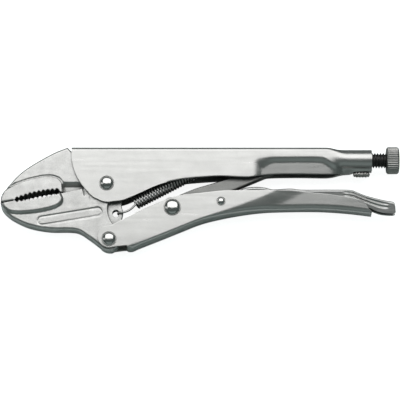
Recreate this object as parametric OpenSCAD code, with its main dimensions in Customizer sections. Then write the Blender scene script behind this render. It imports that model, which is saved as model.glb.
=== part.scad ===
/* [Sheet metal channels] */
// Thickness of the handle sheet
sheet = 2; // [1.8:0.1:2]
// Outer width of both handle channels
channel_w = 15; // [14.6:0.1:16]
// Height of the fixed handle's top face above the jaw pivot
top_y = 23.7; // [23.7:0.1:24.4]

/* [Jaws] */
// Thickness of both forged jaws inside the channels
jaw_t = 10.8; // [9:0.1:10.8]
// Thickness across the raised gripping pads
pad_t = 13.8; // [12:0.1:14.4]
// Number of teeth on each jaw
teeth = 10; // [6:1:12]
// Radius of the moving jaw's eye on the jaw pivot
eye_r = 10; // [8:0.1:10]
// Thickness of the moving jaw's spring lug
lug_t = 5; // [3:0.1:6]

/* [Pivots] */
// Lever pivot, to the right of the jaw pivot
lever_x = 1.7; // [1.5:0.1:2]
// Lever pivot, below the jaw pivot
lever_y = -35.9; // [-36.1:0.1:-35.7]
// Link pivot, to the right of the jaw pivot
link_x = 41; // [40.8:0.1:41.2]
// Link pivot, below the jaw pivot
link_y = -15.6; // [-15.8:0.1:-15.4]
// Release pivot, to the right of the jaw pivot
release_x = 71.4; // [71:0.1:71.8]
// Release pivot, below the jaw pivot
release_y = -11.7; // [-11.9:0.1:-11.5]
// Height that a main rivet head stands above the channel
head_h = 2.2; // [1.8:0.1:2.4]

/* [Adjusting screw] */
// Height of the screw's axis above the jaw pivot
screw_y = 16.6; // [16.5:0.1:16.7]
// Major diameter of the screw thread
screw_d = 9.6; // [9:0.1:9.6]
// Pitch of the screw thread
pitch = 1.75; // [1.5:0.05:2]
// Diameter of the knurled knob
knob_d = 17; // [15:0.5:18]
// Number of ridges round the knob
knurls = 40; // [24:2:48]

/* [Return spring] */
// Outer diameter of the coils
spring_d = 8.4; // [6:0.1:8.6]
// Diameter of the spring wire
wire_d = 1.2; // [0.9:0.1:1.3]
// Number of coils
coils = 24; // [18:1:26]

/* [Hidden] */
$fn = 64;

half_w = channel_w / 2;
inner_w = half_w - sheet;
// The tool lies on its rivet heads, so its mid-plane is this far above the surface
mid_z = half_w + head_h;
web_y = top_y - sheet;
running = 0.05;
past = 1;

// Shank and head radii of the rivets
jaw_pin_r = 3.5;
link_pin_r = 3.8;
release_pin_r = 2;
jaw_head_r = 4.85;
link_head_r = 5.5;
release_head_r = 2.95;

// Tube formed at the rear of the fixed handle, and the screw in it
tube_x = 150;
tube_end_x = 166.2;
tube_r = 6.7;
bore_r = screw_d / 2 + running;
bore_x = 143;
grip_x = 96;
screw_tip_x = 120;
knob_x = 175.4;
knob_l = 7.9;
ring_x = 121.6;
ring_l = 1.4;
ring_r = web_y - screw_y - 0.1;
neck_r = 3.6;

// Tongue lanced from the web of the fixed handle, and the hole in it for the spring's rear hook
tongue_x = 66;
tongue_y = 12.6;
tongue_w = 5;
tongue_t = 1.8;
tongue_hole = [60, 14.8];
tongue_hole_r = 1.3;
// Bead of weld under the tube
bead_start = [154.2, 6.9];
bead_slope = 5;
// Height of the crease below which the rear walls of the fixed handle lean inwards
crease_y = 15.6;
// Blade of the wire cutter: where it starts, the top and foot of its bevel, and its half thickness
blade_x = -27.3;
blade_l = 12.5;
blade_top = 1.2;
blade_foot = -1.4;
blade_half = 2.6;
// Milled recess that leaves the spring lug thin, and the hole in the lug
mill_centre = [16, -16];
mill_r = 15.6;
lug_hole = [5.8, -18.4];
lug_hole_r = 2.5;

// Points along an arc about c, from angle a0 to angle a1
function arc(c, r, a0, a1, n) =
    [for (i = [0:n]) c + r * [cos(a0 + (a1 - a0) * i / n), sin(a0 + (a1 - a0) * i / n)]];

// One point of a smooth curve through four neighbouring points, between b and c
function between(a, b, c, d, t) =
    0.5 * (2 * b + (c - a) * t + (2 * a - 5 * b + 4 * c - d) * t * t
    + (3 * b - a - 3 * c + d) * t * t * t);

// A smooth curve through the points p, with n steps from each to the next
function smooth(p, n = 4) =
    let (m = len(p) - 1)
    [for (i = [0:m - 1], k = [0:n - 1])
        between(p[max(i - 1, 0)], p[i], p[i + 1], p[min(i + 2, m)], k / n), p[m]];

// Teeth on a bowed line: sharp tips on the line, rounded roots at depth along the way's left
function toothed(p, q, rise, depth, count) =
    let (d = q - p, side = [-d[1], d[0]] / norm(d), steps = count * 4)
    [for (i = [0:steps]) let (t = i / steps)
        p + d * t + side * (rise * 4 * t * (1 - t) + depth * abs(sin(180 * t * count)))];

// Places an outline drawn in the plane of the tool, t thick about the mid-plane
module plate(t) {
    translate([0, 0, mid_z])
        linear_extrude(height = t, center = true)
            children();
}

// Hole through the whole tool
module hole(x, y, r) {
    translate([x, y, mid_z])
        cylinder(h = 3 * channel_w, r = r, center = true);
}

// Turns a shape drawn along +Z so that it lies along +X on the screw's axis, from x onwards
module on_screw_axis(x) {
    translate([x, screw_y, mid_z])
        rotate([0, 90, 0])
            children();
}

// Rivet with a domed head at each end, flat at the crown
module rivet(x, y, shank_r, head_r, height) {
    crown_r = head_r * 0.5;
    dome = [for (i = [0:5])
        [crown_r + (head_r - crown_r) * sin(90 * i / 5), height * cos(90 * i / 5)]];
    upper = [for (p = dome) [p[0], half_w + p[1]]];
    lower = [for (i = [5:-1:0]) [dome[i][0], -half_w - dome[i][1]]];
    translate([x, y, mid_z])
        rotate_extrude()
            polygon(concat([[0, half_w + height]], upper, [[shank_r, half_w], [shank_r, -half_w]],
                lower, [[0, -half_w - height]]));
}

// Lower edge of the fixed handle: round the jaw pivot, up to the waist and along the grip
handle_front = arc([14.5, 20], 36.7, 180, 233, 12);
handle_lobe = arc([0.8, 0], 12, 236, 284, 8);
handle_edge = smooth([[6, -11.4], [11.3, -10.4], [20.7, -6.3], [30.1, -1.9], [39.5, 1.3], [48, 3],
    [58.3, 4], [70.8, 4.7], [83.3, 4.2], [89.6, 4.2], [97.1, 5.6], [104, 6.4], [120, 6.6],
    [138, 6.4], [146, 7.9], [tube_x + 2, 9.6]]);
handle_side = concat([[-22.2, top_y]], handle_front, handle_lobe, handle_edge,
    [[tube_x + 2, top_y - 0.6], [142, top_y]]);

// Wedge that leans the outside of a wall inwards towards its edge, on both sides of the tool
module lean(x0, x1, y_wide, y_edge, inset) {
    for (s = [-1, 1])
        translate([x0, 0, mid_z])
            rotate([90, 0, 90])
                linear_extrude(height = x1 - x0)
                    polygon([[y_wide, s * half_w], [y_wide, s * (half_w + past)],
                        [y_edge, s * (half_w + past)], [y_edge, s * (half_w - inset)]]);
}

module fixed_handle() {
    color("lightgray")
    difference() {
        union() {
            difference() {
                plate(channel_w) polygon(handle_side);
                plate(2 * inner_w) polygon([[-30, web_y], [-30, -30], [30, -30], [89, 3], [89, 12],
                    [bore_x, 12], [bore_x, web_y]]);
                plate(2 * inner_w - 1.6) polygon([[80, 12 + past], [80, -10], [bore_x, -10],
                    [bore_x, 12 + past]]);
                lean(grip_x, tube_x + 4, crease_y, 4, 1.1);
                lean(bore_x + 2, tube_x + 4, top_y + 2, crease_y, 0.6);
            }
            on_screw_axis(bore_x + 3) cylinder(h = tube_end_x - bore_x - 3, r = tube_r);
            // The two lips of the sheet, pinched together under the tube
            plate(2 * sheet) polygon([[146, 12], [148, 7.6], [153, 6.9], [tube_end_x, 8],
                [tube_end_x, 12]]);
            // Tongue lanced from the web, where the return spring hooks on
            plate(tongue_w) polygon([[tongue_x, web_y + 0.4], [tongue_x, tongue_y],
                [tongue_x + tongue_t, tongue_y], [tongue_x + tongue_t, web_y + 0.4]]);
        }
        on_screw_axis(bore_x - past) cylinder(h = 40, r = bore_r);
        hole(0, 0, jaw_pin_r + running);
        translate([tongue_hole[0], tongue_hole[1], mid_z])
            rotate([0, 90, 0])
                cylinder(h = 12, r = tongue_hole_r);
    }
}

module seam_weld() {
    color("gray")
    translate([bead_start[0], bead_start[1], mid_z])
        rotate([0, 90, bead_slope])
            rotate_extrude()
                polygon(concat([[0, 0]], smooth([[1, 0.2], [1.6, 2], [1.4, 5], [1.7, 8],
                    [0.9, 10.8]]), [[0, 11]]));
}

// Teeth and outer outline of the fixed jaw, from the tip round the back and along the grip
jaw_tip = [-66.2, -12.1];
grip_back = [-29.5, -5.0];
grip_front = [-57.3, -10.6];
jaw_gap = 0.3;
fixed_back = smooth([jaw_tip, [-66, -8.2], [-63.6, -3.9], [-57.6, 3.6], [-51.4, 9.4], [-42, 15.6],
    [-32.6, 20.8], [-24.8, 24]]);
fixed_grip = toothed(grip_back + [0, 0.6], grip_front, -1.3, -0.9, teeth);
fixed_side = concat(fixed_back, [[-23.6, 22.6], [-22.6, web_y], [13, web_y], [15, 12], [11, 8]],
    arc([0, 0], eye_r + 0.4, 35, 188, 24), [[-14.4, -2.5], [-27.4, -5.4]], fixed_grip);

// Outline of a pad: its flat stands above the forging's side
fixed_pad = concat(smooth([jaw_tip, [-66, -8.2], [-64, -4.6], [-57.6, -0.8], [-51.4, 1.7], [-45, 3.5],
    [-38.9, 4.6], [-33.8, 4.5], [-29.9, 2.8], [-27.9, 0]]), [[-27.4, -5.2]], fixed_grip);

module fixed_jaw() {
    color("silver")
    difference() {
        union() {
            plate(jaw_t) polygon(fixed_side);
            plate(pad_t) polygon(fixed_pad);
        }
        // Bevelled blade of the wire cutter
        for (s = [-1, 1])
            translate([blade_x, 0, mid_z])
                rotate([90, 0, 90])
                    linear_extrude(height = blade_l)
                        polygon([[blade_top, s * jaw_t / 2], [blade_foot, s * blade_half],
                            [-7, s * blade_half], [-7, s * (jaw_t / 2 + past)],
                            [blade_top, s * (jaw_t / 2 + past)]]);
    }
}

// Outline of the moving jaw, from the tip along the grip, round the eye and back under the tool
moving_tip = jaw_tip - [0, jaw_gap + 0.2];
moving_grip = toothed(grip_front - [0, jaw_gap], grip_back - [0, jaw_gap + 0.6], -0.6, -0.9, teeth);
moving_back = smooth([[-4.6, -39], [-10.7, -34.3], [-16.9, -30.3], [-23.2, -29.3], [-35.7, -29.1],
    [-48.2, -26.7], [-57.6, -22.4], [-63, -18.4], [-65.6, -15], moving_tip]);
moving_side = concat([grip_front - [0, jaw_gap]], moving_grip, [[-27.4, -5.8], [-14.4, -2.9]],
    arc([0, 0], eye_r, 196, -50, 36), smooth([[9.4, -11], [9.4, -14.6], [10.3, -17], [9.6, -21.5],
    [8.6, -28]]), arc([lever_x, lever_y], 6.6, 20, -120, 16), moving_back);

moving_pad = concat([grip_front - [0, jaw_gap]], moving_grip, smooth([[-28.4, -6], [-27, -9.5],
    [-28, -13], [-31.4, -15.6], [-37, -17.4], [-45, -18.9], [-54.5, -19.6], [-61, -18.7],
    [-65, -15.4], moving_tip]));

module moving_jaw() {
    color("silver")
    difference() {
        union() {
            plate(jaw_t) polygon(moving_side);
            plate(pad_t) polygon(moving_pad);
        }
        // Both sides are milled back to leave the thin spring lug
        for (s = [-1, 1])
            translate([mill_centre[0], mill_centre[1], mid_z + s * (lug_t / 2 + 5)])
                cylinder(h = 10, r = mill_r, center = true);
        hole(0, 0, jaw_pin_r + running);
        hole(lever_x, lever_y, jaw_pin_r + running);
        hole(lug_hole[0], lug_hole[1], lug_hole_r);
    }
}

module jaw_rivet() {
    color("whitesmoke")
    rivet(0, 0, jaw_pin_r, jaw_head_r, head_h);
}

// Lever handle: lobe on the lever pivot, top edge, rear end and underside
lever_top = smooth([[3.1, -27.1], [11.3, -22.7], [20.7, -17.8], [33.2, -12], [45.7, -7.9],
    [58.3, -6.4], [70.8, -5], [80, -4.7], [114.7, -4.7], [127.2, -5.8], [139.7, -7.1],
    [152.3, -9.1], [159.2, -11]]);
lever_rear = [[160.8, -11.8], [163, -14.8], [165.2, -18], [165.4, -19]];
lever_under = smooth([[165.4, -19], [152.3, -17.4], [139.7, -16.4], [127.2, -16], [108, -16.3],
    [95.9, -16.8], [83.3, -18.3], [70.8, -20.5], [58.3, -23.7], [45.7, -28.8], [33.2, -34],
    [20.7, -39.1], [16.4, -41.1]]);
lever_side = concat(lever_top, lever_rear, lever_under, [[14.4, -41.2], [13, -40.3], [7, -41]],
    arc([2, -34.4], 7.3, 300, 115, 20));
web_x = 13;

module lever_handle() {
    color("lightgray")
    difference() {
        plate(channel_w) polygon(lever_side);
        plate(2 * inner_w) polygon(concat([[-20, 0], [-20, -60], [web_x, -60], [web_x, -37.2]],
            [for (i = [len(lever_under) - 4:-1:0]) lever_under[i] + [0, sheet + 0.2]],
            [[180, -16.8], [180, 0]]));
        lean(92, 170, -5, -20, 1.6);
        hole(lever_x, lever_y, jaw_pin_r + running);
        hole(link_x, link_y, link_pin_r + running);
        hole(release_x, release_y, release_pin_r + running);
    }
}

module lever_rivet() {
    color("whitesmoke")
    rivet(lever_x, lever_y, jaw_pin_r, jaw_head_r, head_h);
}

module link_rivet() {
    color("whitesmoke")
    rivet(link_x, link_y, link_pin_r, link_head_r, head_h);
}

module release_rivet() {
    color("whitesmoke")
    rivet(release_x, release_y, release_pin_r, release_head_r, head_h * 0.6);
}

// The link is drawn along +X from its pivot, then turned to this angle
link_angle = 22.9;
link_l = 76.5;
nose_r = 4.2;
link_bar_t = 6;
link_eye_r = 7.6;
link_side = concat([[0, -5], [0, 5]],
    smooth([[4, 6.2], [10, 6.8], [20, 6.6], [32, 5.4], [50, 4.4], [68, 4]]),
    arc([link_l, 0], nose_r, 90, -90, 12), smooth([[68, -3.6], [45, -3.7], [24, -4.2], [10, -5]]));

module toggle_link() {
    color("darkgray")
    difference() {
        translate([link_x, link_y, 0])
            rotate([0, 0, link_angle])
                union() {
                    plate(link_bar_t) polygon(link_side);
                    translate([0, 0, mid_z])
                        cylinder(h = 2 * inner_w - 0.3, r = link_eye_r, center = true);
                }
        hole(link_x, link_y, link_pin_r + running);
    }
}

// Release lever: hub, pusher under the link, long arm in the lever handle and a turned-down tail
release_t = 9.4;
release_top = smooth([[74.5, -9.4], [80, -5.4], [85.2, -2.5], [89.6, -1.5], [95, -1.4], [100, -2],
    [104, -3], [114.7, -2.4], [122, -3.1], [140, -3.1], [152.3, -3.3], [156.7, -4.8], [161.7, -6.8],
    [168, -8.6], [174.2, -10.1], [178, -10.9], [180.2, -13.6], [180.6, -17.4]]);
release_under = smooth([[179.6, -18.6], [172, -18], [167.2, -16.4], [160, -13], [150, -10],
    [130, -9.4], [110, -9.8], [90, -10.6], [78, -13.4], [74, -14]]);
release_side = concat(arc([release_x, release_y], 3.2, 310, 50, 16), release_top, release_under);

module release_lever() {
    color("gainsboro")
    difference() {
        plate(release_t) polygon(release_side);
        // The stamping is hollow underneath, behind its hub
        plate(release_t - 2 * sheet) polygon(concat([[78, -30]],
            [for (i = [8:4:len(release_top) - 2]) release_top[i] - [0, sheet]],
            [[178.4, -14], [178.4, -30]]));
        hole(release_x, release_y, release_pin_r + running);
    }
}

// The return spring runs from the lug's hole up into the fixed handle
spring_front = [17.5, -11.3];
spring_angle = 28.2;
spring_l = 44;
spring_r = (spring_d - wire_d) / 2;
spring_steps = 12;

// A point in the spring's own frame: along its axis, across it, and out of the plane
function on_spring(p) =
    [spring_front[0] + p[0] * cos(spring_angle) - p[1] * sin(spring_angle),
    spring_front[1] + p[0] * sin(spring_angle) + p[1] * cos(spring_angle), mid_z + p[2]];

// The wire leaves the lug's hole, lies along its near side, and winds into the first coil
front_hook = smooth([[-9.6, -1, -3.9], [-11.4, -0.9, -3.6], [-12.2, -0.9, -1.6], [-12.2, -1, 1.6],
    [-11.3, -1.5, 3.6], [-9.2, -2.6, 3.9], [-7, -3, 3.9], [-4.6, -2.9, 3.7], [-2.2, -2.3, 3.5],
    [-0.4, -1.6, 3.4]], 3);
// Behind the last coil it runs to the middle and through the tongue
rear_hook = smooth([[spring_l + 0.6, 0.2, 3.4], [spring_l + 2.2, 1.2, 2.6], [spring_l + 5, 1, 1],
    [spring_l + 8, 0.4, 0.2], [spring_l + 10.6, 0.2, 0], [spring_l + 12.4, -0.7, 0],
    [spring_l + 14.2, -1.2, 0], [spring_l + 15.5, -0.2, 0], [spring_l + 15.6, 1.4, 0]], 3);
first_turn = 113;
spring_path = [for (p = concat(front_hook,
    [for (i = [0:coils * spring_steps]) let (a = first_turn - 360 * i / spring_steps)
        [spring_l * i / coils / spring_steps, spring_r * cos(a), spring_r * sin(a)]],
    rear_hook)) on_spring(p)];

function unit(v) = v / norm(v);
function tangent(p, i) = unit(p[min(i + 1, len(p) - 1)] - p[max(i - 1, 0)]);
function across(n, t) = unit(n - (n * t) * t);

// A round wire along a path, closed at both ends, with its rings carried along without twist
module wire(path, r, sides) {
    last = len(path) - 1;
    normals = [for (i = 0, n = across([0, 0, 1], tangent(path, 0)); i <= last;
        i = i + 1, n = across(n, tangent(path, min(i, last)))) n];
    points = [for (i = [0:last]) let (t = tangent(path, i), n = normals[i], b = cross(t, n))
        for (k = [0:sides - 1]) path[i] + r * (cos(360 * k / sides) * n + sin(360 * k / sides) * b)];
    faces = concat([[for (k = [0:sides - 1]) k]],
        [for (i = [0:last - 1], k = [0:sides - 1]) let (j = (k + 1) % sides)
            [i * sides + k, (i + 1) * sides + k, (i + 1) * sides + j, i * sides + j]],
        [[for (k = [sides - 1:-1:0]) last * sides + k]]);
    polyhedron(points, faces, convexity = 20);
}

module return_spring() {
    color("dimgray")
    wire(spring_path, wire_d / 2, 6);
}

module stop_ring() {
    color("dimgray")
    on_screw_axis(ring_x)
        difference() {
            cylinder(h = ring_l, r = ring_r);
            translate([0, 0, -past]) cylinder(h = ring_l + 2 * past, r = neck_r + running);
        }
}

// Screw: rounded tip, neck for the ring, rolled thread and the end that the knob is pressed on
thread_x0 = ring_x + ring_l + 0.6;
thread_n = floor((knob_x - 0.6 - thread_x0) / pitch);
thread_root = screw_d / 2 - 0.61 * pitch;

module adjusting_screw() {
    neck_end = ring_x - screw_tip_x - 0.2;
    color("dimgray")
    on_screw_axis(screw_tip_x)
        rotate_extrude()
            polygon(concat([[0, 0], [3, 0], [4, 0.6], [4, neck_end], [neck_r, neck_end],
                [neck_r, neck_end + ring_l + 0.4], [thread_root, thread_x0 - screw_tip_x]],
                [for (i = [0:thread_n - 1], k = [0:2])
                    [k == 0 ? thread_root : screw_d / 2,
                    thread_x0 - screw_tip_x + (i + 0.15 + 0.33 * k + (k == 2 ? -0.1 : 0)) * pitch]],
                [[thread_root, knob_x - screw_tip_x - 0.4], [thread_root, knob_x + 4 - screw_tip_x],
                [0, knob_x + 4 - screw_tip_x]]));
}

module screw_knob() {
    knob_r = knob_d / 2;
    chamfer = 1;
    color("silver")
    on_screw_axis(knob_x)
        difference() {
            intersection() {
                linear_extrude(height = knob_l)
                    polygon([for (i = [0:2 * knurls - 1]) let (a = 180 * i / knurls)
                        (knob_r - (i % 2) * 0.45) * [cos(a), sin(a)]]);
                rotate_extrude()
                    polygon([[0, 0], [knob_r - chamfer, 0], [knob_r + chamfer, 2 * chamfer],
                        [knob_r + chamfer, knob_l - 2 * chamfer], [knob_r - chamfer, knob_l],
                        [0, knob_l]]);
            }
            translate([0, 0, -past]) cylinder(h = 4 + past, r = thread_root);
        }
}

fixed_handle();
seam_weld();
fixed_jaw();
moving_jaw();
jaw_rivet();
lever_handle();
lever_rivet();
link_rivet();
release_rivet();
toggle_link();
release_lever();
return_spring();
stop_ring();
adjusting_screw();
screw_knob();
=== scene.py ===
import math

import bmesh
import bpy
import numpy as np
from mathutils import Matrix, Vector


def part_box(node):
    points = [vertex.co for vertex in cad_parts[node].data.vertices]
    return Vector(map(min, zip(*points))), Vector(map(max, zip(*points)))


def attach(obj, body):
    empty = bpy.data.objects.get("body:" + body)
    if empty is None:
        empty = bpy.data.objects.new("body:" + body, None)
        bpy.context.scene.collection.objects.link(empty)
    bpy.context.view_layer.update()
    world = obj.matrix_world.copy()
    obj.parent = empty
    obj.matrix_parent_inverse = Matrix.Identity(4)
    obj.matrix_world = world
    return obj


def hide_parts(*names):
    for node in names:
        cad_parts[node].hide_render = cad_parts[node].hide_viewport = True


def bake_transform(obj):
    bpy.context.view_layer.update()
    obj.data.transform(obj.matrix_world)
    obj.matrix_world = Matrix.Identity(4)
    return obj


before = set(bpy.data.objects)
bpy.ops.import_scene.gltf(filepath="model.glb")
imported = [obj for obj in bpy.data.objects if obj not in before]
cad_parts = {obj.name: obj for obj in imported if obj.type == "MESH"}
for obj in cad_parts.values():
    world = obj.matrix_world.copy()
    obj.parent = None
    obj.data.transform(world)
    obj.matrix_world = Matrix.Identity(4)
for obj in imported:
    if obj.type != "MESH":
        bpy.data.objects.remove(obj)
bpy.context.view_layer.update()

# ---------------------------------------------------------------------------------------------
# Fixed jaw. A forging whose back fits inside the front of the fixed handle, where it is welded.
# Its teeth are milled, the cutter's blade is ground, and its pad stands proud of the sides.
MM = 0.001  # the outlines and sizes are in millimetres
MID_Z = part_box("jaw_rivet")[1].z / 2  # the tool's mid-plane, in metres
JAW_HALF = 5.4  # half the thickness of either jaw
PAD_RISE = 1.5  # how far the gripping pads stand proud of the sides
PAD_GROOVE = 0.35  # depth of the groove round the pad
TEETH = 10
TOOTH_DEPTH = 1.25
JAW_GAP = 0.3  # between the closed jaws
EYE_R = 10  # the moving jaw's eye round the jaw pivot
BACK_R = 1.8  # rounding of the forged back
EDGE_R = 0.8  # rounding of the plain edges
FINE_R = 0.25  # rounding along the teeth and the blade
FINE_X = -58, -14  # where the teeth and the blade begin and end


def arc(centre, radius, start, stop, count):
    """Points centre + radius (cos a, sin a), with a going from start to stop in degrees."""
    a = np.radians(np.linspace(start, stop, count))
    return np.array(centre) + radius * np.stack([np.cos(a), np.sin(a)], -1)


def smooth(points, steps=8):
    """Catmull-Rom curve: each stretch is the cubic through its two ends, with slopes along the
    line that joins their neighbours."""
    p = np.array(points, float)
    q = np.concatenate([p[:1], p, p[-1:]])
    t = np.linspace(0, 1, steps, endpoint=False)[None, :, None]
    a, b, c, d = (q[i:len(q) - 3 + i, None, :] for i in range(4))
    cubic = (2 * b + (c - a) * t + (2 * a - 5 * b + 4 * c - d) * t**2
             + (3 * b - a - 3 * c + d) * t**3) / 2
    return np.concatenate([cubic.reshape(-1, p.shape[1]), p[-1:]])


def along(path, count, start=0.0, stop=1.0):
    """Points at equal steps of the path's length, between two fractions of that length."""
    p = np.array(path, float)
    run = np.concatenate([[0], np.cumsum(np.linalg.norm(np.diff(p, axis=0), axis=1))])
    at = np.linspace(start, stop, count) * run[-1]
    return np.stack([np.interp(at, run, p[:, k]) for k in range(p.shape[1])], -1)


def toothed(first, last, rise, depth, fine=8):
    """Teeth on a bowed line: the line p + t (q - p) is moved sideways by rise 4 t (1 - t) and by
    depth |sin(pi t teeth)|, which leaves sharp tips and rounded roots."""
    p, q = np.array(first, float), np.array(last, float)
    t = np.linspace(0, 1, TEETH * fine + 1)[:, None]
    way = q - p
    side = np.array([-way[1], way[0]]) / np.hypot(*way)
    return p + t * way + (rise * 4 * t * (1 - t) + depth * np.abs(np.sin(np.pi * t * TEETH))) * side


def beside(path, x, y):
    """Distance of each point from a path, positive on the right of the way it runs: the least of
    the distances to the path's stretches, each to the foot of the perpendicular or, past the
    stretch, to its nearer end."""
    p, way = path[:-1], np.diff(path, axis=0)
    gap = np.stack([x, y], -1)[..., None, :] - p
    t = np.clip((gap * way).sum(-1) / (way * way).sum(-1), 0, 1)
    foot = gap - t[..., None] * way
    far = np.hypot(foot[..., 0], foot[..., 1])
    near = far.argmin(-1)[..., None]
    cross = np.take_along_axis(way[:, 0] * gap[..., 1] - way[:, 1] * gap[..., 0], near, -1)
    return (np.take_along_axis(far, near, -1) * -np.sign(cross))[..., 0]


def ramp(value, width):
    """Rises from 0 to 1 over the width as t^2 (3 - 2 t), with a rounded start and end."""
    t = np.clip(value / width, 0, 1)
    return t * t * (3 - 2 * t)


def grid_mesh(name, points, wrap=False, outward=None):
    """Piece made of the quads of a grid of points in millimetres. wrap joins the last column to
    the first. Doubles are merged, and the faces point outwards: all round on a closed shell, and
    on a sheet so that the face furthest along outward looks that way."""
    rows, cols = points.shape[:2]
    i = np.arange(rows - 1)[:, None]
    j = np.arange(cols if wrap else cols - 1)[None, :]
    k = (j + 1) % cols
    quads = np.stack([i * cols + j, i * cols + k, (i + 1) * cols + k, (i + 1) * cols + j], -1)
    mesh = bpy.data.meshes.new(name)
    mesh.from_pydata((points.reshape(-1, 3) * MM).tolist(), [], quads.reshape(-1, 4).tolist())
    work = bmesh.new()
    work.from_mesh(mesh)
    bmesh.ops.remove_doubles(work, verts=work.verts, dist=2e-6)
    bmesh.ops.dissolve_degenerate(work, edges=work.edges, dist=1e-6)
    bmesh.ops.recalc_face_normals(work, faces=work.faces)
    if outward is not None:
        furthest = max(work.faces, key=lambda f: f.calc_center_median().dot(outward))
        if furthest.normal.dot(outward) < 0:
            bmesh.ops.reverse_faces(work, faces=work.faces)
    elif work.calc_volume(signed=True) < 0:
        bmesh.ops.reverse_faces(work, faces=work.faces)
    work.to_mesh(mesh)
    work.free()
    mesh.shade_smooth()
    piece = bpy.data.objects.new(name, mesh)
    bpy.context.scene.collection.objects.link(piece)
    return piece


def forging(name, first, last, half, first_r, last_r, lanes, relief):
    """Closed body between two outlines with matching points. Each section starts at the first
    edge and turns over it as a quarter circle, x = r (1 - cos a), z = half - r + r sin a, runs
    to the last edge in equal lanes and turns down there the same way. relief(x, y) is added to
    z, and the far side is the same with z turned round."""
    width = np.linalg.norm(last - first, axis=1)[:, None]
    a = np.radians(np.linspace(0, 90, 7))[None, :]
    r0 = np.minimum(first_r, width * 0.45)
    r1 = np.minimum(last_r, width * 0.45)
    inner = np.linspace(0, 1, lanes)[None, 1:-1]
    across = np.concatenate([r0 * (1 - np.cos(a)), r0 + (width - r0 - r1) * inner,
                             width - r1 * (1 - np.cos(a[:, ::-1]))], 1)
    height = np.concatenate([half - r0 + r0 * np.sin(a), half + 0 * inner * width,
                             half - r1 + r1 * np.sin(a[:, ::-1])], 1)
    share = (across / np.maximum(width, 1e-9))[..., None]
    flat = first[:, None, :] * (1 - share) + last[:, None, :] * share
    z = height + relief(flat[..., 0], flat[..., 1])
    near = np.concatenate([flat, z[..., None]], -1)
    far = (near * [1, 1, -1])[:, ::-1]
    return grid_mesh(name, np.concatenate([near, far], 1) + [0, 0, MID_Z / MM], wrap=True)


def plug(tree, value, socket):
    """Sets the socket to a number or a colour, or links another node's output to it."""
    if isinstance(value, (int, float, tuple)):
        socket.default_value = value
    else:
        tree.links.new(value, socket)


def mapped(tree, value, low, high, start=0.3, stop=0.7):
    """low where the value is start, high where it is stop, and a straight line between them."""
    made = tree.nodes.new("ShaderNodeMapRange")
    for socket, level in (("Value", value), ("From Min", start), ("From Max", stop),
                          ("To Min", low), ("To Max", high)):
        plug(tree, level, made.inputs[socket])
    return made.outputs["Result"]


def mixed(tree, kind, factor, one, two):
    """Colour one blended with colour two in the way that kind names, by the factor."""
    made = tree.nodes.new("ShaderNodeMix")
    made.data_type = "RGBA"
    made.blend_type = kind
    for socket, value in ((0, factor), (6, one), (7, two)):
        plug(tree, value, made.inputs[socket])
    return made.outputs[2]


def noise(tree, place, scale, stretch, detail):
    """Fractal noise at the place, whose three coordinates are first multiplied by stretch."""
    turn = tree.nodes.new("ShaderNodeMapping")
    turn.inputs["Scale"].default_value = stretch
    tree.links.new(place, turn.inputs["Vector"])
    made = tree.nodes.new("ShaderNodeTexNoise")
    made.inputs["Scale"].default_value = scale
    made.inputs["Detail"].default_value = detail
    tree.links.new(turn.outputs["Vector"], made.inputs["Vector"])
    return made.outputs["Fac"]


def plated_steel(name, colour, roughness, mottle, streak, grain, shade_depth=0.7, reach=4):
    """Nickel plated steel. mottle is how far the colour varies in patches a few millimetres wide
    and in specks, streak how far the roughness varies along fine lines on X, and grain the height
    of the fine blasted surface. Hollows that are narrower than about twice the reach get painted
    shade: their colour is darkened to nearly black, and they stop being metal there."""
    steel = bpy.data.materials.new(name)
    steel.use_nodes = True
    tree = steel.node_tree
    shader = tree.nodes["Principled BSDF"]
    place = tree.nodes.new("ShaderNodeTexCoord").outputs["Object"]

    patches = mapped(tree, noise(tree, place, 140, (1, 1, 1), 5), 1 - mottle, 1 + mottle * 0.4)
    speck = mapped(tree, noise(tree, place, 1500, (1, 1, 1), 3), 1 - mottle * 0.7, 1.0, 0.35, 0.6)
    tone = mixed(tree, "MULTIPLY", 1.0, (*colour, 1), patches)
    tone = mixed(tree, "MULTIPLY", 1.0, tone, speck)
    # Painted shade: ambient occlusion darkens the colour to nearly black, and takes the metal away,
    # in hollows, gaps and channels
    corner = tree.nodes.new("ShaderNodeAmbientOcclusion")
    corner.samples = 8
    corner.inputs["Distance"].default_value = reach * MM
    shade_mask = mapped(tree, corner.outputs["AO"], shade_depth, 0.0, 0.2, 0.7)
    shaded_tone = mixed(tree, "MIX", shade_mask, tone, (0.03, 0.029, 0.027, 1))
    plug(tree, shaded_tone, shader.inputs["Base Color"])
    plug(tree, mapped(tree, shade_mask, 1.0, 0.0, 0.0, 1.0), shader.inputs["Metallic"])

    lines = noise(tree, place, 520, (0.05, 1, 1), 4)
    rough = mapped(tree, lines, roughness - streak, roughness + streak)
    plug(tree, rough, shader.inputs["Roughness"])
    bump = tree.nodes.new("ShaderNodeBump")
    bump.inputs["Strength"].default_value = 0.5
    bump.inputs["Distance"].default_value = grain * MM
    plug(tree, noise(tree, place, 1300, (1, 1, 1), 4), bump.inputs["Height"])
    plug(tree, bump.outputs["Normal"], shader.inputs["Normal"])
    return steel


jaw_tip = np.array([-66.2, -12.1])
grip_back = np.array([-29.5, -5.0])
grip_front = np.array([-57.3, -10.6])

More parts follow.
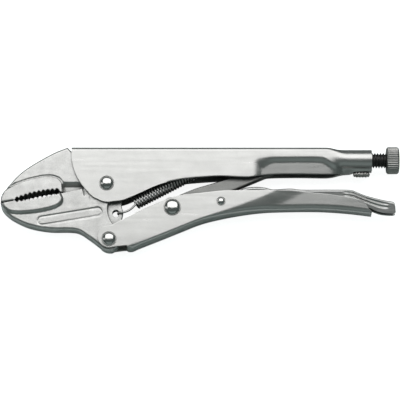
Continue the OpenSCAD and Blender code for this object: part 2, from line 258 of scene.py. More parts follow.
fixed_back = smooth([jaw_tip, [-66, -8.2], [-63.6, -3.9], [-57.6, 3.6], [-51.4, 9.4], [-42, 15.6],
                     [-32.6, 20.8], [-24.8, 24]])
fixed_grip = toothed(grip_back + [0, 0.6], grip_front, -1.3, -TOOTH_DEPTH)[::-1]
fixed_pad = np.concatenate([smooth([jaw_tip, [-66, -8.2], [-64, -4.6], [-57.6, -0.8], [-51.4, 1.7],
                                    [-45, 3.5], [-38.9, 4.6], [-33.8, 4.5], [-29.9, 2.8],
                                    [-27.9, 0]]), [[-27.4, -5.2]]])
jaw_shoulder = [[-24.8, 24], [-23.6, 22.6], [-22.6, 21.6], [-8, 21.6]]
parting_line = [grip_back + [0, 0.6], [-27.4, -5.4], [-14.4, -2.5]]
fixed_first = np.concatenate([along(fixed_back, 18, 0, 0.35), along(fixed_back, 81, 0.35, 1)[1:],
                              along(jaw_shoulder, 40)[1:], along([[-8, 21.6], [8, 21.6]], 20)[1:]])
fixed_last = np.concatenate([along([jaw_tip, grip_front], 18), fixed_grip[1:],
                             along(smooth(parting_line), 40)[1:],
                             arc([0, 0], EYE_R + 0.4, 190, 60, 20)[1:]])
BLADE_X = -27.3  # where the cutter's blade begins
BLADE_TOP, BLADE_LAND = 1.2, -1.4  # the y at which its bevel begins and ends
BLADE_DROP = 2.8


def fixed_relief(x, y):
    """Pad that rises over 0.5 mm inside its outline, with a groove 0.6 mm outside it, less the
    blade's bevel, which falls in a straight line from BLADE_TOP to BLADE_LAND."""
    inside = beside(fixed_pad, x, y)
    pad = PAD_RISE * ramp(inside, 0.5) - PAD_GROOVE * ramp(0.8 - np.abs(inside + 0.6), 0.5)
    bevel = BLADE_DROP * np.clip((BLADE_TOP - y) / (BLADE_TOP - BLADE_LAND), 0, 1)
    return pad - bevel * ramp(x - BLADE_X, 0.5)


def edge_radii(outline):
    """EDGE_R along the outline, and FINE_R where x lies between the two ends of FINE_X."""
    fine = (outline[:, :1] > FINE_X[0]) & (outline[:, :1] < FINE_X[1])
    return np.where(fine, FINE_R, EDGE_R)


jaw_nickel = plated_steel("jaw_nickel", (0.70, 0.695, 0.68), roughness=0.34, mottle=0.16,
                          streak=0.05, grain=0.09, shade_depth=0.95, reach=7)
fixed_jaw = forging("fixed_jaw_forging", fixed_first, fixed_last, JAW_HALF, BACK_R,
                    edge_radii(fixed_last), 90, fixed_relief)
fixed_jaw.data.materials.append(jaw_nickel)
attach(fixed_jaw, "root")
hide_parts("fixed_jaw")

# ---------------------------------------------------------------------------------------------
# Fixed handle. One sheet pressed into a channel that is open below. At its rear the walls lean in
# and the sheet closes to a tube for the screw, with its two lips pinched together underneath.
SHEET = 1.85
HALF_W = 7.5  # half the channel's width, on the outside
TOP_Y = 23.7  # the channel's back
FOLD_R = 2.6
SCREW_Y = 16.6  # the screw's axis
TUBE_R = 6.7
CLOSE_X, TUBE_X, TUBE_END_X = 137, 151, 166.2  # where the tube starts to close, is closed, ends
LIP_Z, FOOT_Z = 2.05, 3.1  # half widths over the lips: at their edge and under the tube
PINCH_D = 0.9  # depth of the dent in front of the tube
PINCH_AT = 147.5, 8.5

handle_front = arc([14.5, 20], 36.7, 180, 233, 60)
handle_lobe = arc([0.8, 0], 12, 236, 284, 24)
handle_edge = smooth([[6, -11.4], [11.3, -10.4], [20.7, -6.3], [30.1, -1.9], [39.5, 1.3], [48, 3],
                      [58.3, 4], [70.8, 4.7], [83.3, 4.2], [89.6, 4.2], [97.1, 5.6], [104, 6.4],
                      [120, 6.6], [138, 6.4], [146, 7.2], [152, 7.8], [156, 8.8],
                      [TUBE_END_X, 9.2]])
lower_edge = along(np.concatenate([handle_front, handle_lobe, handle_edge]), 330)
crease = smooth([[90, -2], [90, 5], [90.6, 12], [93, 16], [98, 17.3], [110, 17.4], [132, 17.4],
                 [138, 16], [146, 11]])


def wall_lean(x, y):
    """How far the wall is pressed in behind its crease: a soft step, then a slight slope."""
    step = ramp(beside(crease, x, y), 3.8 + 6 * ramp(106 - x, 14))
    return step * (1.2 + 0.11 * np.clip(16.4 - y, 0, 12))


def folded(height, half_w, radius, samples):
    """Half section of a fold, from the wall's edge to the middle of the back: the distance run
    along it, the height above the edge and the distance from the mid-plane. The wall is straight,
    the corner is a quarter circle, and the back is flat. height and radius are columns."""
    wall, corner, back = (np.linspace(0, 1, n)[None, :] for n in samples)
    radius = radius + 0 * height
    a = corner[:, 1:] * np.pi / 2
    straight = height - radius
    up = np.concatenate([wall * straight, straight + radius * np.sin(a),
                         height + 0 * back[:, 1:]], 1)
    out = np.concatenate([half_w + 0 * wall * height, half_w - radius * (1 - np.cos(a)),
                          (half_w - radius) * (1 - back[:, 1:])], 1)
    step = np.hypot(np.diff(up, axis=1), np.diff(out, axis=1))
    run = np.concatenate([0 * height, np.cumsum(step, axis=1)], 1)
    return run, up, out


def pressed_sheet(name, half, thickness, outward, bevel):
    """Sheet metal piece from half sections (rows, columns, 3) that run from the edge to the
    mid-plane. The other half is its mirror image, the wall grows inwards to the thickness, and
    the edges are rounded by the bevel."""
    other = half[:, :-1][:, ::-1] * [1, 1, -1]
    points = np.concatenate([half, other], 1) + [0, 0, MID_Z / MM]
    piece = grid_mesh(name, points, outward=Vector(outward))
    wall = piece.modifiers.new("wall", "SOLIDIFY")
    wall.thickness = thickness * MM
    wall.offset = -1
    soft = piece.modifiers.new("deburred", "BEVEL")
    soft.width = bevel * MM
    soft.segments = 2
    soft.limit_method = "ANGLE"
    soft.angle_limit = math.radians(50)
    weigh = piece.modifiers.new("shading", "WEIGHTED_NORMAL")
    weigh.keep_sharp = True
    return piece


def pinch(x, y):
    """Depth of the dent that pinches the lips together. It falls off from the middle, PINCH_AT,
    as exp(-(dx / 3.2)^2 - (dy / 3.6)^2)."""
    return PINCH_D * np.exp(-((x - PINCH_AT[0]) / 3.2)**2 - ((y - PINCH_AT[1]) / 3.6)**2)


# The open section: a channel whose walls are pressed in behind the crease
edge_x, edge_y = lower_edge[:, :1], lower_edge[:, 1:]
back_y = TOP_Y - 0.4 * ramp(edge_x - 140, 11)
run, up, out = folded(back_y - edge_y, HALF_W, FOLD_R, (26, 9, 6))
open_y = edge_y + up
open_z = out * (1 - wall_lean(edge_x + 0 * up, open_y) / HALF_W)
# The closed section: up the lip, then round the tube from its foot to its crown
foot = math.asin(FOOT_Z / TUBE_R)
lip = np.maximum(SCREW_Y - TUBE_R * math.cos(foot) - edge_y, 0.2)
at = run / run[:, -1:] * (lip + TUBE_R * (math.pi - foot))
angle = foot + np.clip(at - lip, 0, None) / TUBE_R
tube_y = np.where(at < lip, edge_y + at, SCREW_Y - TUBE_R * np.cos(angle))
tube_z = np.where(at < lip, LIP_Z + (FOOT_Z - LIP_Z) * at / lip, TUBE_R * np.sin(angle))
# From one to the other
closing = ramp(edge_x - CLOSE_X, TUBE_X - CLOSE_X)
wall_y = open_y + (tube_y - open_y) * closing
wall_z = open_z + (tube_z - open_z) * closing - pinch(edge_x, wall_y)
half = np.stack([edge_x + 0 * up, wall_y, wall_z], -1)

handle_nickel = plated_steel("handle_nickel", (0.66, 0.655, 0.64), roughness=0.32, mottle=0.05,
                             streak=0.05, grain=0.03, shade_depth=0.92, reach=12)
fixed_handle = pressed_sheet("fixed_handle_channel", half, SHEET, outward=(0, 1, 0), bevel=0.6)
fixed_handle.data.materials.append(handle_nickel)
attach(fixed_handle, "root")
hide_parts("fixed_handle")

# ---------------------------------------------------------------------------------------------
# Spring tongue. A strip lanced from the back of the fixed handle's channel and bent down into it,
# which the return spring's rear hook holds on to.
TONGUE_T = 1.8
TONGUE_HALF = 2.5

tongue_front = along([[66, 22.5], [66, 12.6]], 12)
tongue = forging("spring_tongue", tongue_front, tongue_front + [TONGUE_T, 0], TONGUE_HALF, 0.3,
                 0.3, 6, lambda x, y: 0 * x)
tongue.data.materials.append(handle_nickel)
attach(tongue, "root")

# ---------------------------------------------------------------------------------------------
# Weld bead. A short run of weld that closes the seam where the lips meet under the tube.
# It is left as welded, so it is lumpy, and it is plated with the handle.
BEAD_X, BEAD_Y = 154.4, 7.5
BEAD_L = 10.6
BEAD_R = 1.75


def turned(name, profile, around, centre, axis, radius_wave=None):
    """Surface of revolution. profile holds (distance along the axis, radius) from one end to the
    other, both ends on the axis. axis is 0 for X and 2 for Z. radius_wave(s, a) is added to the
    radius where it isn't 0, with s the distance along the axis and a the angle."""
    s, r = (np.array(profile, float)[:, k:k + 1] for k in (0, 1))
    a = np.linspace(0, 2 * np.pi, around, endpoint=False)[None, :]
    if radius_wave is not None:
        r = np.where(r > 0, r + radius_wave(s, a), 0)
    side, rise, run = r * np.cos(a), r * np.sin(a), s + 0 * a
    points = np.stack([run, side, rise] if axis == 0 else [side, rise, run], -1)
    return grid_mesh(name, points + np.array(centre), wrap=True)


def weld_lumps(s, a):
    """A wave along the bead that the angle delays, less a square of one that winds round it."""
    return 0.18 * np.sin(s * 3.4 + 0.6 * np.cos(a)) - 0.2 * np.sin(2.6 * s + 3 * a)**2


# Without its lumps the bead's radius is BEAD_R sqrt(1 - (2 t - 1)^6), which is blunt at both ends
bead_t = np.linspace(0, 1, 60)
bead_r = BEAD_R * np.sqrt(np.clip(1 - (2 * bead_t - 1)**6, 0, 1))
bead = turned("seam_weld_bead", np.stack([bead_t * BEAD_L, bead_r], -1), 40,
              [BEAD_X, BEAD_Y, MID_Z / MM], 0, weld_lumps)
weld_nickel = plated_steel("weld_nickel", (0.66, 0.65, 0.63), roughness=0.22, mottle=0.35,
                           streak=0.08, grain=0.4, shade_depth=0.95, reach=2)
bead.data.materials.append(weld_nickel)
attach(bead, "root")
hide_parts("seam_weld")

# ---------------------------------------------------------------------------------------------
# Moving jaw. A forging with the lower teeth and blade, an eye round the jaw pivot, an eye for the
# lever handle, and between them a lug, milled thin, with the hole that the return spring hooks in.
LEVER_PIVOT = np.array([1.7, -35.9])
LEVER_EYE_R = 6.6
LUG_HALF = 2.5  # half the lug's thickness
MILL = np.array([16, -16])  # the axis of the cutter that thins the lug
MILL_R = 15.6
LUG_HOLE = np.array([5.8, -18.4])
LUG_HOLE_R = 2.3
LOWER_BACK_R = 1.4

moving_tip = jaw_tip - [0, JAW_GAP + 0.2]
moving_grip = toothed(grip_front - [0, JAW_GAP], grip_back - [0, JAW_GAP + 0.6], -0.6,
                      -TOOTH_DEPTH)
moving_back = np.concatenate([smooth([moving_tip, [-65.6, -15], [-63, -18.4], [-57.6, -22.4],
                                      [-48.2, -26.7], [-35.7, -29.1], [-23.2, -29.3],
                                      [-16.9, -30.3], [-10.7, -34.3], [-4.6, -39]]),
                              arc(LEVER_PIVOT, LEVER_EYE_R, 214, 285, 24)])
moving_pad = np.concatenate([smooth([[-28.4, -6], [-27, -9.5], [-28, -13], [-31.4, -15.6],
                                     [-37, -17.4], [-45, -18.9], [-54.5, -19.6], [-61, -18.7],
                                     [-65, -15.4], moving_tip]),
                             [moving_tip + [-3, 3]]])
eye_side = LEVER_PIVOT + LEVER_EYE_R * np.array([np.cos(0.35), np.sin(0.35)])
rear_side = smooth([[9.9, 1.7], [9.9, -5], [9.4, -11], [9.4, -14.6], [10.3, -17], [9.6, -21.5],
                    [8.6, -28], eye_side])
# The outline that faces the fixed jaw and the handle: the nose, the teeth, the blade, the jaw
# pivot's eye, the rear side and the lever pivot's eye. back_ends_x says where on the back the
# points lie that match the ends of its first five stretches.
stretches = [along([moving_tip, grip_front - [0, JAW_GAP]], 18), moving_grip,
             along([moving_grip[-1], [-27.4, -5.8], [-14.4, -2.9], [-10.6, -2.6]], 46),
             arc([0, 0], EYE_R, 185, 10, 50), along(rear_side, 50),
             arc(LEVER_PIVOT, LEVER_EYE_R, 20, -75, 30)]
back_ends_x = [-60.5, -31, -12.4, -8, -4.9]
moving_first = np.concatenate([stretches[0][:1]] + [stretch[1:] for stretch in stretches])
moving_last = along(moving_back, len(moving_first))
back_share = np.linspace(0, 1, len(moving_last))
front_ends = np.cumsum([0] + [len(stretch) - 1 for stretch in stretches])
back_ends = np.interp(back_ends_x, moving_last[:, 0], back_share)
share = np.interp(np.arange(len(moving_first)), front_ends, [0, *back_ends, 1])
moving_last = np.stack([np.interp(share, back_share, moving_last[:, k]) for k in (0, 1)], -1)
panel = np.array([[-40.1, -23.8], [-5.6, -18]])  # the ends of the oblong panel's middle line
PANEL_R = 2.6
scribe = np.array([[-14.7, -2.6], [-14.1, -7.1]])  # the ends of the line behind the blade


def moving_relief(x, y):
    """Pad whose edge is rounded as 1 - (1 - t)^2 inside its outline, less the milled lug, less
    the shallow oblong panel, the points nearer than PANEL_R to the line between its ends, with a
    groove round it, and less the scribed line."""
    pad = PAD_RISE * (1 - (1 - np.clip(beside(moving_pad, x, y) / 2.3, 0, 1))**2)
    lug = (JAW_HALF - LUG_HALF) * ramp(MILL_R - np.hypot(x - MILL[0], y - MILL[1]), 0.4)
    round_panel = np.abs(beside(panel, x, y)) - PANEL_R
    oblong = 0.15 * ramp(-round_panel, 0.7) + 0.3 * np.exp(-(round_panel / 0.45)**2)
    scribed = 0.7 * ramp(0.6 - np.abs(beside(scribe, x, y)), 0.5)
    return pad - lug - oblong - scribed


moving_jaw = forging("moving_jaw_forging", moving_first, moving_last, JAW_HALF,
                     edge_radii(moving_first), LOWER_BACK_R, 90, moving_relief)
moving_jaw.data.materials.append(jaw_nickel)
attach(moving_jaw, "jaw")
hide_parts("moving_jaw")


def drilled(piece, x, y, radius):
    """Cuts a round hole right through the piece along Z, as the difference between it and a
    cylinder that is longer than it, and leaves the result as its mesh."""
    a = np.linspace(0, 2 * np.pi, 48, endpoint=False)
    ring = np.stack([x + radius * np.cos(a), y + radius * np.sin(a), 0 * a], -1)
    rows = np.stack([ring * 0 + [x, y, -20], ring + [0, 0, -20], ring + [0, 0, 40],
                     ring * 0 + [x, y, 40]])
    drill = grid_mesh("drill", rows, wrap=True)
    cut = piece.modifiers.new("hole", "BOOLEAN")
    cut.object = drill
    cut.solver = "EXACT"
    graph = bpy.context.evaluated_depsgraph_get()
    mesh = bpy.data.meshes.new_from_object(piece.evaluated_get(graph))
    piece.modifiers.clear()
    piece.data = mesh
    bpy.data.objects.remove(drill)


drilled(moving_jaw, *LUG_HOLE, LUG_HOLE_R)

# ---------------------------------------------------------------------------------------------
# Rivets. Bright steel pins, headed over at both ends, that the handles, jaw and levers turn on.
# Each head is a low dome with a flat crown that stands in a shallow ring.
JAW_HEAD_R, LINK_HEAD_R, RELEASE_HEAD_R = 4.85, 5.5, 2.95
HEAD_H = 2.2  # height of a head above the sheet
LINK_PIVOT = np.array([41, -15.6])
RELEASE_PIVOT = np.array([71.4, -11.7])

rivet_bright = plated_steel("rivet_bright", (0.74, 0.735, 0.72), roughness=0.17, mottle=0.05,
                            streak=0.04, grain=0.02, shade_depth=0.5)


def rivet(name, place, head_r, height, body, node):
    """Pin from one head to the other. The head stands in a groove inside a thin rim. From the
    groove to the flat crown its height goes with sin b, and its radius with (cos b)^0.9."""
    b = np.linspace(0, math.radians(78), 12)
    dome = np.stack([HALF_W + height * np.sin(b) / np.sin(b[-1]),
                     (head_r - 0.55) * np.cos(b)**0.9], -1)
    upper = np.concatenate([[[HALF_W - 0.2, head_r * 0.6], [HALF_W - 0.2, head_r - 0.1],
                             [HALF_W, head_r], [HALF_W + 0.25, head_r - 0.05],
                             [HALF_W + 0.25, head_r - 0.25], [HALF_W - 0.1, head_r - 0.4]],
                            dome, [[HALF_W + height, 0]]])
    profile = np.concatenate([(upper * [-1, 1])[::-1], upper])
    pin = turned(name, profile, 64, [*place, MID_Z / MM], 2)
    pin.data.materials.append(rivet_bright)
    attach(pin, body)
    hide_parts(node)


rivet("jaw_pivot_rivet", [0, 0], JAW_HEAD_R, HEAD_H, "root", "jaw_rivet")
rivet("lever_pivot_rivet", LEVER_PIVOT, JAW_HEAD_R, HEAD_H, "lever", "lever_rivet")
rivet("link_pivot_rivet", LINK_PIVOT, LINK_HEAD_R, HEAD_H, "lever", "link_rivet")
rivet("release_pivot_rivet", RELEASE_PIVOT, RELEASE_HEAD_R, HEAD_H * 0.6, "lever", "release_rivet")

# ---------------------------------------------------------------------------------------------
# Return spring. Hard drawn steel wire, wound into a coil that pulls the moving jaw open. Its front
# hook goes through the jaw's lug, and its rear hook over the tongue inside the fixed handle.
WIRE_R = 0.66
COIL_R = 3.6  # to the middle of the wire
COILS = 24
COIL_POINTS = 24
SPRING_L = 44  # over the coils
SPRING_ANGLE = math.radians(28.2)
FIRST_TURN = math.radians(113)
spring_front = np.array([17.5, -11.3])  # the front end of the coils' axis

front_hook = smooth([[-9.6, -1, -3.9], [-11.4, -0.9, -3.6], [-12.2, -0.9, -1.6], [-12.2, -1, 1.6],
                     [-11.3, -1.5, 3.6], [-9.2, -2.6, 3.9], [-7, -3, 3.9], [-4.6, -2.9, 3.7],
                     [-2.2, -2.3, 3.5], [-0.4, -1.6, 3.4]], 5)
rear_hook = smooth([[SPRING_L + 0.6, 0.2, 3.4], [SPRING_L + 2.2, 1.2, 2.6], [SPRING_L + 5, 1, 1],
                    [SPRING_L + 8, 0.4, 0.2], [SPRING_L + 10.6, 0.2, 0], [SPRING_L + 12.4, -0.7, 0],
                    [SPRING_L + 14.2, -1.2, 0], [SPRING_L + 15.5, -0.2, 0],
                    [SPRING_L + 15.6, 1.4, 0]], 5)
# The coils: a left-hand helix whose axis is its own X
turn = np.linspace(0, 1, COILS * COIL_POINTS + 1)
wound = FIRST_TURN - turn * COILS * 2 * np.pi
coil = np.stack([turn * SPRING_L, COIL_R * np.cos(wound), COIL_R * np.sin(wound)], -1)
own = np.concatenate([front_hook, coil, rear_hook])


def swung(outline, angle, centre):
    """The outline turned about the origin by the angle, then moved to the centre."""
    c, s = math.cos(angle), math.sin(angle)
    return outline @ np.array([[c, s], [-s, c]]) + centre


wire_path = np.c_[swung(own[:, :2], SPRING_ANGLE, spring_front), MID_Z / MM + own[:, 2]]


def wire(name, path, radius, sides):
    """Round wire of the given radius carried along a path, with closed ends, as a mesh."""
    curve = bpy.data.curves.new(name, "CURVE")
    curve.dimensions = "3D"
    curve.bevel_depth = radius * MM
    curve.bevel_resolution = sides // 2 - 2
    curve.use_fill_caps = True
    line = curve.splines.new("POLY")
    line.points.add(len(path) - 1)
    line.points.foreach_set("co", np.c_[path * MM, np.ones(len(path))].ravel())
    drawn = bpy.data.objects.new(name + "_line", curve)
    bpy.context.scene.collection.objects.link(drawn)
    graph = bpy.context.evaluated_depsgraph_get()
    mesh = bpy.data.meshes.new_from_object(drawn.evaluated_get(graph))
    bpy.data.objects.remove(drawn)
    mesh.shade_smooth()
    piece = bpy.data.objects.new(name, mesh)
    bpy.context.scene.collection.objects.link(piece)
    return piece


spring_wire = plated_steel("spring_wire", (0.66, 0.655, 0.64), roughness=0.34, mottle=0.1,
                           streak=0.05, grain=0.02, shade_depth=0.97, reach=5)
spring = wire("return_spring_wire", wire_path, WIRE_R, 10)
spring.data.materials.clear()
spring.data.materials.append(spring_wire)
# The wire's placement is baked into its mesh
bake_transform(spring)
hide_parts("return_spring")

# ---------------------------------------------------------------------------------------------
# Lever handle. One sheet pressed into a channel that is open above. Its front has no back, only
# the two ears that the lever pivot's rivet goes through, and its walls lean in towards the rear.
WEB_X = 13  # where the back begins
EAR_R = 7.3
LEVER_FRONT, LEVER_REAR = -5.3, 165.4
LEVER_SHEET = 2.0
SLANT_X, SLANT = 120, 4.6  # from there on the sections lean forwards, up to SLANT at the rear
ear_centre = [2, -34.4]

lever_top = np.concatenate([arc(ear_centre, EAR_R, 180, 115, 20), smooth([
    [3.1, -27.1], [11.3, -22.7], [20.7, -17.8], [33.2, -12], [45.7, -7.9], [58.3, -6.4],
    [70.8, -5], [80, -4.7], [114.7, -4.7], [127.2, -5.8], [139.7, -7.1], [152.3, -9.1],
    [159.2, -11], [160.8, -11.8]])])
lever_under = np.concatenate([arc(ear_centre, EAR_R, 180, 290, 24), smooth([
    [7, -40.9], [10, -40.5], [WEB_X - 0.3, -40.3]], 4), smooth([
        [WEB_X + 0.5, -40.9], [16.4, -41], [20.7, -39.1], [33.2, -34], [45.7, -28.8],
        [58.3, -23.7], [70.8, -20.5], [83.3, -18.3], [95.9, -16.8], [108, -16.3], [127.2, -16],
        [139.7, -16.4], [152.3, -17.4], [LEVER_REAR, -19]])])
# The sections stand closer together at the front of the ears and where the back begins
x_low = np.sort(np.concatenate([
    np.linspace(LEVER_FRONT, LEVER_REAR, 260), WEB_X + np.linspace(-0.6, 4, 20),
    LEVER_FRONT + (LEVER_REAR - LEVER_FRONT) * 0.02 * np.linspace(0.05, 1, 20)**2]))[:, None]
y_low = np.interp(x_low, lever_under[:, 0], lever_under[:, 1])
slant = SLANT * np.clip((x_low - SLANT_X) / (LEVER_REAR - SLANT_X), 0, 1)**2
y_top = np.interp(x_low - slant, lever_top[:, 0], lever_top[:, 1])
tall = y_top - y_low
corner_r = 0.4 + 0.8 * ramp(x_low - WEB_X, 5) + 1.8 * ramp(x_low - 50, 60)
run, up, out = folded(tall, HALF_W, np.minimum(corner_r, tall * 0.4), (24, 9, 6))
share = (tall - up) / np.maximum(tall, 1e-6)
lever_crease = smooth([[13, -40.6], [40, -30.2], [64, -20.6], [85, -12.6], [100, -6.4], [118, 3],
                       [140, 16]])


def lever_lean(x, y, top):
    """How far the wall leans in below its crease, which runs from the front corner to the top: a
    step, then a slope that starts at the crease or at the top edge, whichever is nearer."""
    inside = beside(lever_crease, x, y)
    step = (0.5 + 0.65 * ramp(x - 70, 20)) * ramp(inside, 2.2 + 8.5 * ramp(x - 60, 40))
    return step + 0.09 * np.clip(np.minimum(inside - 1, top - y), 0, None)


half_x = x_low - slant * share
half_y = y_low + tall - up
half_z = out * (1 - lever_lean(half_x, half_y, y_top) / HALF_W)
half = np.stack([half_x, half_y, half_z], -1)
lever_handle = pressed_sheet("lever_handle_channel", half, LEVER_SHEET, outward=(0, -1, 0),
                             bevel=0.45)


def opened_front(piece, x, wall):
    """Takes away the back of the channel in front of x: the faces that lie nearer to the
    mid-plane than the wall, with the corner's."""
    work = bmesh.new()
    work.from_mesh(piece.data)
    gone = [f for f in work.faces if f.calc_center_median().x < x * MM
            and abs(f.calc_center_median().z - MID_Z) < wall * MM]
    bmesh.ops.delete(work, geom=gone, context="FACES")
    work.to_mesh(piece.data)
    work.free()


opened_front(lever_handle, WEB_X, HALF_W - 0.02)
lever_handle.data.materials.append(handle_nickel)
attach(lever_handle, "lever")
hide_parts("lever_handle")

# ---------------------------------------------------------------------------------------------
# Toggle link. A forged bar with an eye on the link pivot. Its rounded rear end bears on the tip
# of the adjusting screw, and pressing it past the line locks the tool.
LINK_ANGLE = math.radians(22.9)
LINK_L = 76.5  # from the link pivot to the middle of the rounded end
NOSE_R = 4.2
LINK_HALF = 3.0  # half the bar's thickness
LINK_EYE_R, LINK_EYE_HALF = 7.6, 5.35

# Both outlines run from the eye to the rounded end, along X, with the link pivot at the origin
link_upper = np.concatenate([arc([0, 0], LINK_EYE_R, 180, 62, 24),
                             smooth([[6.5, 6.7], [12, 6.8], [20, 6.6], [32, 5.4], [50, 4.4],
                                     [68, 4]]),
                             arc([LINK_L, 0], NOSE_R, 90, 0, 12)])
link_lower = np.concatenate([arc([0, 0], LINK_EYE_R, 180, 312, 24),
                             smooth([[10, -5], [24, -4.2], [45, -3.7], [68, -3.6]]),
                             arc([LINK_L, 0], NOSE_R, -90, 0, 12)])


def eye_rise(x, y):
    """Takes the side from LINK_HALF up to LINK_EYE_HALF over 0.6 mm inside the eye's rim."""
    inside = LINK_EYE_R - np.hypot(x - LINK_PIVOT[0], y - LINK_PIVOT[1])
    return (LINK_EYE_HALF - LINK_HALF) * ramp(inside, 0.6)


link = forging("toggle_link_bar", swung(along(link_upper, 150), LINK_ANGLE, LINK_PIVOT),
               swung(along(link_lower, 150), LINK_ANGLE, LINK_PIVOT), LINK_HALF, 0.8, 0.8, 30,
               eye_rise)
# The link's colour is set far darker than the other nickel pieces as painted shade, for the shade
# between the handles
link_nickel_shaded = plated_steel("link_nickel_shaded", (0.30, 0.30, 0.29), roughness=0.36, mottle=0.12,
                           streak=0.05, grain=0.05, shade_depth=0.9, reach=8)
link.data.materials.append(link_nickel_shaded)
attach(link, "link")
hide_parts("toggle_link")

# ---------------------------------------------------------------------------------------------
# Release lever. A narrow channel stamped from sheet that turns on its rivet in the lever handle.
# Squeezing its tail swings its front up against the link and unlocks the tool.
RELEASE_HALF = 4.7
RELEASE_SHEET = 1.6
RELEASE_FOLD_R = 1.6
RELEASE_EYE_R = 3.2
GROOVE_D = 0.6
GROOVE_AT = 0.72, 0.46  # the shares of the tail's height at which its two grooves run

release_top = np.concatenate([arc(RELEASE_PIVOT, RELEASE_EYE_R, 180, 50, 10), smooth([
    [74.5, -9.4], [80, -5.4], [85.2, -2.5], [89.6, -1.5], [95, -1.4], [100, -2], [104, -3],
    [114.7, -2.4], [122, -3.1], [140, -3.1], [152.3, -3.3], [156.7, -4.8], [161.7, -6.8],
    [168, -8.6], [174.2, -10.1], [178.8, -10.9], [180, -11.8]])])
release_under = np.concatenate([arc(RELEASE_PIVOT, RELEASE_EYE_R, 180, 310, 10), smooth([
    [74, -14], [78, -13.4], [90, -10.6], [110, -9.8], [130, -9.4], [150, -10], [160, -13],
    [167.2, -16.4], [172, -18], [178.6, -18.5], [180.5, -17.8]])])


def tail_grooves(x, share):
    """Depth of the grooves pressed along the tail: exp(-(d / 0.08)^2) with d the share of the
    height less that of the groove, faded out at both ends."""
    one, two = (np.exp(-((share - at) / 0.08)**2) for at in GROOVE_AT)
    return GROOVE_D * ramp(x - 147, 6) * ramp(177 - x, 5) * (one + two)


def release_lean(x, tall, share):
    """How far the walls lean in behind the rivet: 0.4 mm all over, and more towards their edge."""
    return (0.4 + 0.14 * tall * (1 - share)) * ramp(x - 78, 14)


top_line, low_line = along(release_top, 330), along(release_under, 330)
tall = np.linalg.norm(top_line - low_line, axis=1)[:, None]
run, up, out = folded(tall, RELEASE_HALF, np.minimum(RELEASE_FOLD_R, tall * 0.45), (40, 8, 5))
share = up / np.maximum(tall, 1e-6)
flat = low_line[:, None, :] * (1 - share[..., None]) + top_line[:, None, :] * share[..., None]
pressed_in = tail_grooves(flat[..., 0], share) + release_lean(flat[..., 0], tall, share)
half_z = out * (1 - pressed_in / RELEASE_HALF)
half = np.concatenate([flat, half_z[..., None]], -1)
release = pressed_sheet("release_lever_stamping", half, RELEASE_SHEET, outward=(0, 1, 0),
                        bevel=0.25)
release_nickel = plated_steel("release_nickel", (0.56, 0.56, 0.55), roughness=0.30, mottle=0.06,
                              streak=0.05, grain=0.03, shade_depth=0.95, reach=12)
release.data.materials.append(release_nickel)
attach(release, "release")
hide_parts("release_lever")

# ---------------------------------------------------------------------------------------------
# Adjusting screw. A steel screw with a rolled thread, its colour darkened as painted shade. Its
# rounded tip meets the link, and the ring in the groove behind the tip keeps it from coming out.
SCREW_R = 4.8
PITCH = 1.75
PITCH_POINTS = 16
THREAD_DEPTH = 1.07
TIP_X = 120
KNOB_X = 175.4
NECK_R = 3.55  # at the bottom of the stop ring's groove
RING_X, RING_L = 121.6, 1.4
THREAD_START = RING_X + RING_L + 0.6 - TIP_X  # distances from the tip
THREAD_END = KNOB_X - TIP_X

# The screw's dark colour is painted shade, for the shade it lies in inside the handle
screw_shaded = plated_steel("screw_shaded", (0.16, 0.158, 0.155), roughness=0.34, mottle=0.25,
                          streak=0.06, grain=0.04, shade_depth=0.6)


def thread(s, a):
    """Depth of the helical groove below the crest: it depends on s / PITCH - a / 2 pi, so that it
    moves on by one pitch a turn, and is flat at the crest and at the root."""
    phase = (s - THREAD_START) / PITCH - a / (2 * np.pi)
    wave = np.abs(2 * (phase % 1) - 1)
    fade = ramp(s - THREAD_START, 1.5)
    return -THREAD_DEPTH * fade * np.clip(1.35 * wave - 0.15, 0, 1)


tip = np.array([[0, 0], [0, 2.6], [0.25, 3.5], [0.7, 3.95], [1.3, 4]])
neck = np.array([[1.4, NECK_R], [1.5 + RING_L + 0.3, NECK_R], [THREAD_START, 4.4]])
thread_s = np.arange(0, (THREAD_END - THREAD_START) / PITCH * PITCH_POINTS) * PITCH / PITCH_POINTS
shaft = np.stack([thread_s + THREAD_START, SCREW_R + 0 * thread_s], -1)
end = np.array([[THREAD_END, SCREW_R], [THREAD_END + 2, SCREW_R], [THREAD_END + 2, 0]])
screw = turned("adjusting_screw_thread", np.concatenate([tip, neck, shaft, end]), 64,
               [TIP_X, SCREW_Y, MID_Z / MM], 0, thread)
screw.data.materials.append(screw_shaded)
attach(screw, "screw")
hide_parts("adjusting_screw")

# ---------------------------------------------------------------------------------------------
# Stop ring. A hardened steel ring with rounded edges, snapped into the groove behind the screw's
# tip, where it is too wide to go into the tube.
RING_R = 5.0

round_it = np.radians(np.linspace(0, 360, 17))
ring_s = RING_L / 2 * (1 + np.clip(1.3 * np.cos(round_it), -1, 1))
ring_r = (RING_R + NECK_R) / 2 + (RING_R - NECK_R) / 2 * np.clip(1.3 * np.sin(round_it), -1, 1)
ring_profile = np.stack([ring_s, ring_r], -1)
ring = turned("stop_ring_snap", ring_profile, 48, [RING_X, SCREW_Y, MID_Z / MM], 0)
# The ring takes the screw's darkened colour, which is painted shade
ring.data.materials.append(screw_shaded)
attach(ring, "screw_slider")
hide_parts("stop_ring")

# ---------------------------------------------------------------------------------------------
# Knob. A turned steel knob with a straight knurl, pressed on the screw's end. Both its rims are
# chamfered below the knurl, and its outer face has a slight hollow.
KNOB_L, KNOB_R = 7.9, 8.5
KNURLS = 36
KNURL_DEPTH = 0.55
CHAMFER = 0.9
RIM_R = KNOB_R - CHAMFER


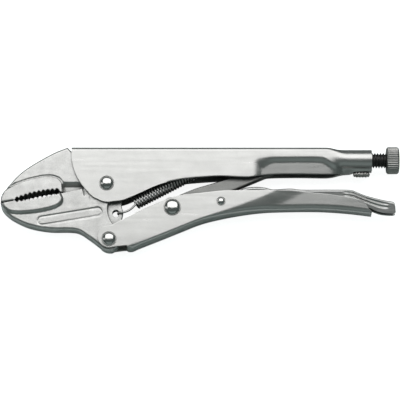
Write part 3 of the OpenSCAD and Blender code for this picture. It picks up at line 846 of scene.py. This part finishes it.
def knurl(s, a):
    """Ridges round the knob: the depth is that of a wave with KNURLS teeth, and dies out on the
    chamfers at the two ends."""
    wave = np.abs(np.sin(a * KNURLS / 2))**0.8
    on_band = ramp(s - 0.35, 0.5) * ramp(KNOB_L - 0.35 - s, 0.5)
    return -KNURL_DEPTH * (1 - wave) * on_band


inner_face = [[0, 0], [0, 5.2], [0, RIM_R - 0.6], [0.05, RIM_R]]
outer_face = [[KNOB_L, RIM_R - 0.3], [KNOB_L, 6.4], [KNOB_L - 0.35, 6], [KNOB_L - 0.4, 0]]
slope = np.linspace(0.3, CHAMFER, 4)
fall = np.linspace(CHAMFER, 0.1, 5)
band = np.linspace(CHAMFER, KNOB_L - CHAMFER, 12)
knob_profile = np.concatenate([
    inner_face, np.stack([slope, RIM_R + slope], -1), np.stack([band, KNOB_R + 0 * band], -1)[1:],
    np.stack([KNOB_L - fall, RIM_R + fall], -1)[1:], outer_face])
knob = turned("adjusting_knob", knob_profile, KNURLS * 8, [KNOB_X, SCREW_Y, MID_Z / MM], 0, knurl)
knob_satin = plated_steel("knob_satin", (0.50, 0.495, 0.48), roughness=0.32, mottle=0.12,
                          streak=0.06, grain=0.04, shade_depth=0.6)
knob.data.materials.append(knob_satin)
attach(knob, "screw")
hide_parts("screw_knob")

# ---------------------------------------------------------------------------------------------
# Studio. A plain pale floor under the rivet heads, soft light from above, and a long lens that
# looks down on the tool, tilted towards the lever handle.
LENS_FAR = 1.6
TILT = math.radians(15)
WIDE = 0.2506  # width of the view at the tool
FLOOR_HALF = 3.0
FLOOR_TINT = (0.92, 1, 0.99, 1)
aim = Vector((0.0583, -0.009, MID_Z))

floor_mesh = bpy.data.meshes.new("studio_floor")
corners = [(x * FLOOR_HALF, y * FLOOR_HALF, 0) for x, y in ((-1, -1), (1, -1), (1, 1), (-1, 1))]
floor_mesh.from_pydata(corners, [], [(0, 1, 2, 3)])
floor = bpy.data.objects.new("studio_floor", floor_mesh)
bpy.context.scene.collection.objects.link(floor)
floor_white = bpy.data.materials.new("floor_white")
floor_white.use_nodes = True
# The floor is lit to white for the lens. In the steel's reflections it is pale in front of the
# tool and dark grey behind it, as if a dark card lay there.
tree = floor_white.node_tree
paint = tree.nodes["Principled BSDF"]
paint.inputs["Roughness"].default_value = 0.9
paint.inputs["Emission Color"].default_value = (1, 1, 1, 1)
place = tree.nodes.new("ShaderNodeSeparateXYZ")
plug(tree, tree.nodes.new("ShaderNodeTexCoord").outputs["Object"], place.inputs["Vector"])
seen = tree.nodes.new("ShaderNodeLightPath").outputs["Is Camera Ray"]
card = mapped(tree, place.outputs["Y"], 0.95, 0.25, -0.03, 0.05)
grey = mapped(tree, seen, card, 0.9, 0, 1)
plug(tree, mixed(tree, "MULTIPLY", 1, grey, FLOOR_TINT), paint.inputs["Base Color"])
plug(tree, mapped(tree, seen, 0, 0.9, 0, 1), paint.inputs["Emission Strength"])
floor.data.materials.append(floor_white)


def softbox(name, place, width, depth, radiance, colour=(1, 1, 1)):
    """Rectangular light that looks at the tool. Its power is pi times its area times radiance."""
    light = bpy.data.lights.new(name, "AREA")
    light.shape = "RECTANGLE"
    light.size, light.size_y = width, depth
    light.energy = math.pi * width * depth * radiance
    light.color = colour
    box = bpy.data.objects.new(name, light)
    box.location = place
    box.rotation_euler = (aim - Vector(place)).to_track_quat("-Z", "Y").to_euler()
    bpy.context.scene.collection.objects.link(box)


softbox("overhead_softbox", (0.06, 0.49, 0.73), width=1.3, depth=0.84, radiance=1.47)
softbox("front_fill", (0.06, -0.75, 0.63), width=1.2, depth=0.7, radiance=0.15,
        colour=(0.85, 1, 0.98))
softbox("left_strip", (-0.8, 0.1, 0.5), width=0.25, depth=0.8, radiance=0.7)

world = bpy.data.worlds.new("studio")
world.use_nodes = True
world.node_tree.nodes["Background"].inputs["Color"].default_value = (0.82, 1, 0.96, 1)
world.node_tree.nodes["Background"].inputs["Strength"].default_value = 0.09
bpy.context.scene.world = world
bpy.context.scene.view_settings.view_transform = "Standard"

lens = bpy.data.cameras.new("camera")
lens.sensor_width = 36
lens.lens = 36 * LENS_FAR / WIDE
camera = bpy.data.objects.new("camera", lens)
camera.location = aim + LENS_FAR * Vector((0, -math.sin(TILT), math.cos(TILT)))
camera.rotation_euler = (aim - camera.location).to_track_quat("-Z", "Y").to_euler()
bpy.context.scene.collection.objects.link(camera)
bpy.context.scene.camera = camera
